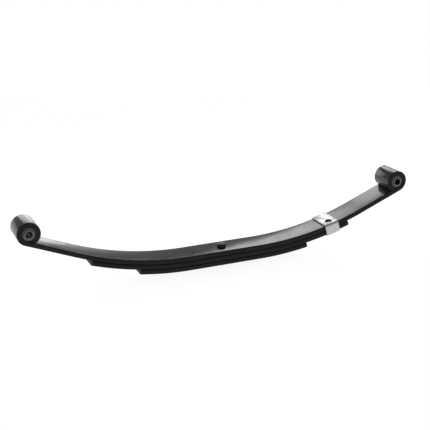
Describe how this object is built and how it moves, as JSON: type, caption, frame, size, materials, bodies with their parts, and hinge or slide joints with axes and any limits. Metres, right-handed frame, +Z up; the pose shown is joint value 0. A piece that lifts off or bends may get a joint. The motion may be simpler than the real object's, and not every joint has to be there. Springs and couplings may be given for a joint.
{
  "type": "leaf spring",
  "caption": "Upward-curved stack of flat steel leaves with a rolled, bushed eye at each end; bolted to an axle at its middle, it flexes to carry a vehicle's load.",
  "frame": {"origin": "where the centre-bolt axis meets the top face of the main leaf, which is the axle seat", "axes": "+X along the spring towards the arm with the rebound clip, +Y across the leaves, +Z up out of the arch"},
  "size_m": [0.6784, 0.0492, 0.1275],
  "materials": {
    "leaf_paint": "gloss black enamel on spring steel",
    "bolt_finish": "black paint over steel",
    "zinc_plate": "bright zinc plate",
    "bushing_rubber": "moulded, semi-matt dark grey",
    "sleeve_steel": "drawn tube, dull"
  },
  "bodies": {
    "spring_pack": {"main_leaf": "leaf_paint", "second_leaf": "leaf_paint", "third_leaf": "leaf_paint", "centre_bolt": "bolt_finish", "centre_bolt_nut": "bolt_finish", "rebound_clip": "zinc_plate", "clip_rivet": "zinc_plate"},
    "front_eye": {"front_eye_bushing": "bushing_rubber"},
    "front_sleeve": {"front_bushing_sleeve": "sleeve_steel"},
    "rear_eye": {"rear_eye_bushing": "bushing_rubber"},
    "rear_sleeve": {"rear_bushing_sleeve": "sleeve_steel"}
  },
  "joints": [
    {"name": "front_arm_flex", "type": "hinge", "parent": "spring_pack", "child": "front_eye", "pos_m": [-0.11, 0, -0.0041], "axis": [0, -1, 0], "range_deg": [0, 13], "stiffness_Nm_per_rad": 5100, "deforming": ["main_leaf", "second_leaf", "third_leaf"]},
    {"name": "rear_arm_flex", "type": "hinge", "parent": "spring_pack", "child": "rear_eye", "pos_m": [0.11, 0, -0.0041], "axis": [0, 1, 0], "range_deg": [0, 13], "stiffness_Nm_per_rad": 5100, "deforming": ["main_leaf", "second_leaf", "third_leaf"]},
    {"name": "front_sleeve_turn", "type": "hinge", "parent": "front_eye", "child": "front_sleeve", "pos_m": [-0.32067, 0, 0.07635], "axis": [0, 1, 0], "continuous": true},
    {"name": "rear_sleeve_turn", "type": "hinge", "parent": "rear_eye", "child": "rear_sleeve", "pos_m": [0.32067, 0, 0.07635], "axis": [0, 1, 0], "continuous": true}
  ]
}
